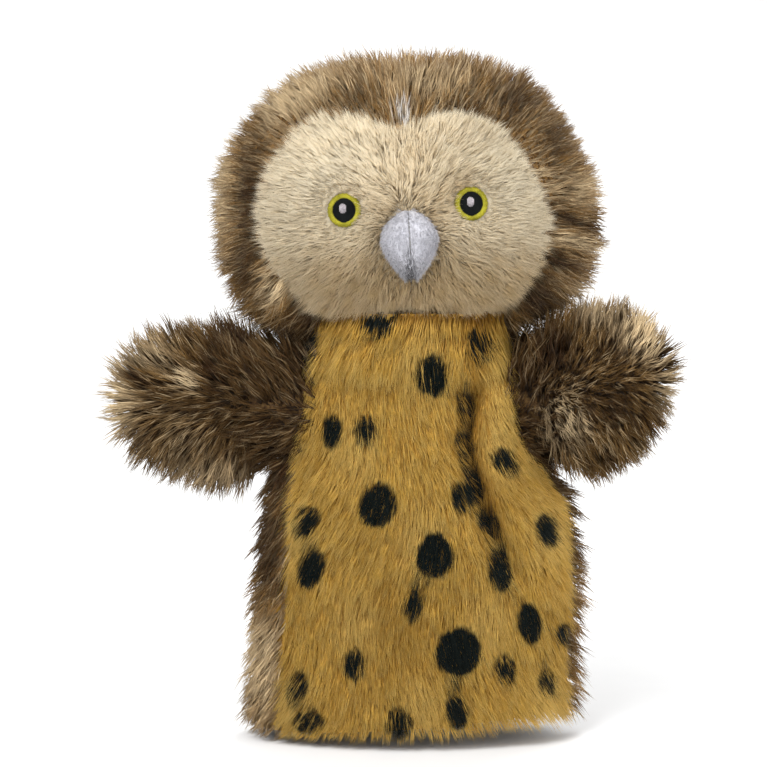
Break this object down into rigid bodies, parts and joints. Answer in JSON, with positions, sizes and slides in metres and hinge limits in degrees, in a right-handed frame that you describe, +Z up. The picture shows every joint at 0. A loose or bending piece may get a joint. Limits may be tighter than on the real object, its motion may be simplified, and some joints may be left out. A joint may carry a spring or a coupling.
{
  "type": "owl glove puppet",
  "caption": "Plush owl glove puppet with a spotted furry sleeve, a stuffed head on a finger pocket and two jointed wings.",
  "frame": {"origin": "middle of the hand opening, in the plane of the hem's lowest point", "axes": "+Z up from the hem to the crown, -Y the way the owl faces, +X the owl's left"},
  "size_m": [0.1954, 0.0978, 0.2423],
  "materials": {
    "tan_plush": "short golden faux fur pile with near-black printed spots",
    "brown_plush": "long faux fur pile, dark brown with beige and cream tips",
    "cream_plush": "short dense cream faux fur pile",
    "lining": "plain dark woven lining",
    "hem_thread": "polyester sewing thread",
    "iris_thread": "yellow satin stitch embroidery",
    "pupil_thread": "black satin stitch embroidery",
    "glint_thread": "off-white satin stitch embroidery",
    "beak_velvet": "pale blue-grey short velvet",
    "fibre_fill": "white polyester fibre filling"
  },
  "bodies": {
    "sleeve": {"belly_panel": "tan_plush", "back_panel": "brown_plush", "lining_front": "lining", "lining_back": "lining", "hem_facing": "lining", "hem_stitches": "hem_thread"},
    "neck": {"neck_gusset": "brown_plush"},
    "head": {"hood_right": "brown_plush", "hood_left": "brown_plush", "crown_gusset": "brown_plush", "face_right": "cream_plush", "face_left": "cream_plush", "head_stuffing": "fibre_fill", "finger_pocket": "lining", "eye_ring_right": "iris_thread", "eye_ring_left": "iris_thread", "pupil_right": "pupil_thread", "pupil_left": "pupil_thread", "glint_right": "glint_thread", "glint_left": "glint_thread", "beak_right": "beak_velvet", "beak_left": "beak_velvet", "beak_stuffing": "fibre_fill"},
    "shoulder_right": {"shoulder_gusset_right": "brown_plush"},
    "wing_right": {"wing_front_right": "brown_plush", "wing_back_right": "brown_plush", "wing_pocket_right": "lining"},
    "shoulder_left": {"shoulder_gusset_left": "brown_plush"},
    "wing_left": {"wing_front_left": "brown_plush", "wing_back_left": "brown_plush", "wing_pocket_left": "lining"}
  },
  "joints": [
    {"name": "head_tilt", "type": "hinge", "parent": "sleeve", "child": "neck", "pos_m": [0, 0, 0.146], "axis": [0, 1, 0], "range_deg": [-9, 10]},
    {"name": "head_nod", "type": "hinge", "parent": "neck", "child": "head", "pos_m": [0, 0, 0.146], "axis": [0.9986, 0, 0.0523], "range_deg": [-16, 16]},
    {"name": "right_wing_clap", "type": "hinge", "parent": "sleeve", "child": "shoulder_right", "pos_m": [-0.045, 0, 0.118], "axis": [0, 0, 1], "range_deg": [-15, 54]},
    {"name": "right_wing_flap", "type": "hinge", "parent": "shoulder_right", "child": "wing_right", "pos_m": [-0.045, 0, 0.118], "axis": [0, 1, 0], "range_deg": [-30, 19]},
    {"name": "left_wing_clap", "type": "hinge", "parent": "sleeve", "child": "shoulder_left", "pos_m": [0.045, 0, 0.118], "axis": [0, 0, -1], "range_deg": [-57, 12]},
    {"name": "left_wing_flap", "type": "hinge", "parent": "shoulder_left", "child": "wing_left", "pos_m": [0.045, 0, 0.118], "axis": [-0.6691, -0.7431, 0], "range_deg": [-43, 4]}
  ]
}
